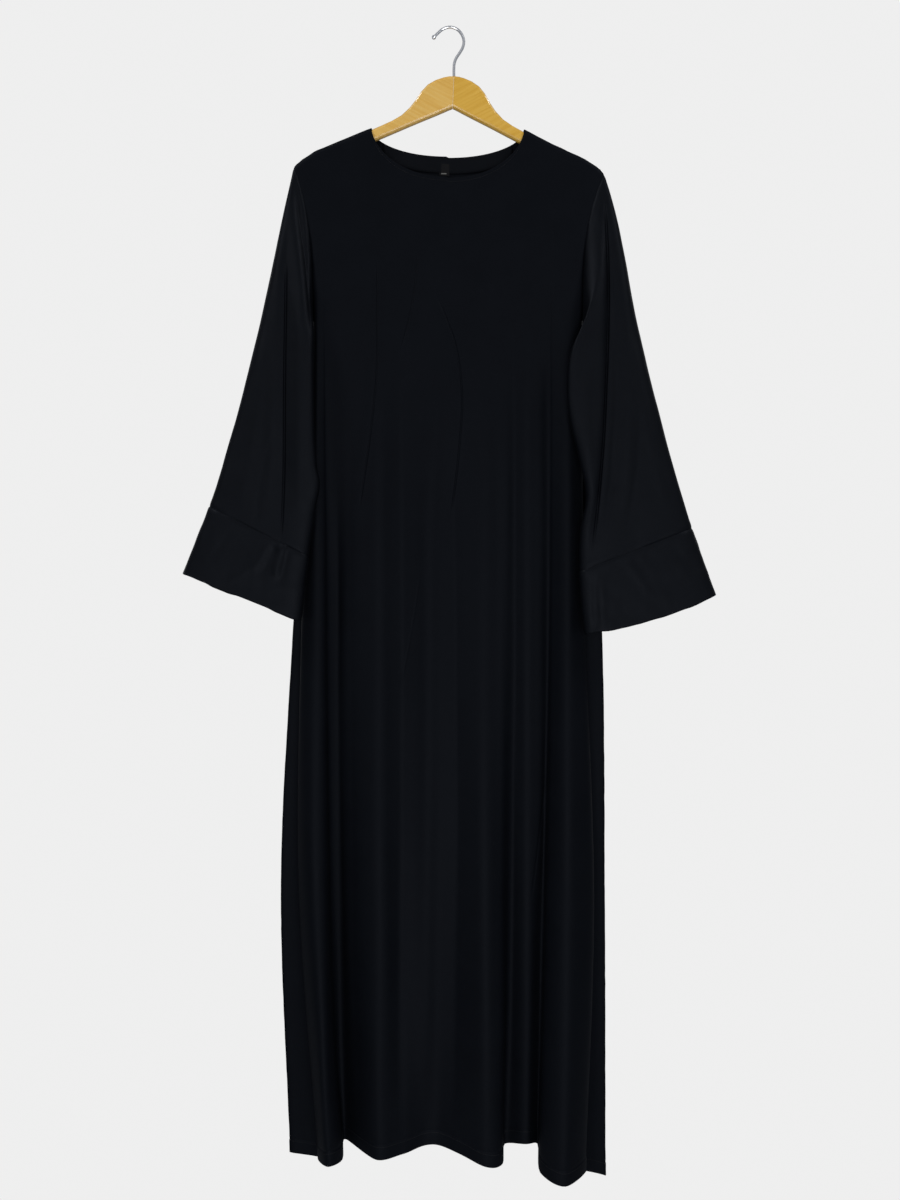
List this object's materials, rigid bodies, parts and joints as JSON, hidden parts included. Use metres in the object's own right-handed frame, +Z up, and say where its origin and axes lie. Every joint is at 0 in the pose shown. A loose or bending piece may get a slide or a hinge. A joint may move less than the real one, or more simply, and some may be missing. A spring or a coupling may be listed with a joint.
{
  "type": "closed-front abaya on a wooden hanger",
  "caption": "Long black closed-front robe with flared sleeves and deep cuff bands, hanging on a varnished wooden hanger with a wire hook.",
  "frame": {"origin": "the top of the hook's inner bend, where the hanger hangs on its rail", "axes": "+Z up, +X to the viewer's right, and the front of the garment faces -Y"},
  "size_m": [0.7372, 0.1162, 1.6199],
  "materials": {
    "black_crepe": "soft matte crepe with a faint sheen",
    "black_facing": "matte woven strip",
    "label_satin": "satin",
    "varnished_wood": "glossy golden varnish",
    "bright_chrome": "polished"
  },
  "bodies": {
    "root": {"front_panel": "black_crepe", "back_panel": "black_crepe", "sleeve_left": "black_crepe", "sleeve_right": "black_crepe", "cuff_left": "black_crepe", "cuff_right": "black_crepe", "neck_facing": "black_facing", "neck_label": "label_satin", "hanger_left": "varnished_wood", "hanger_right": "varnished_wood", "hook": "bright_chrome"}
  },
  "joints": []
}
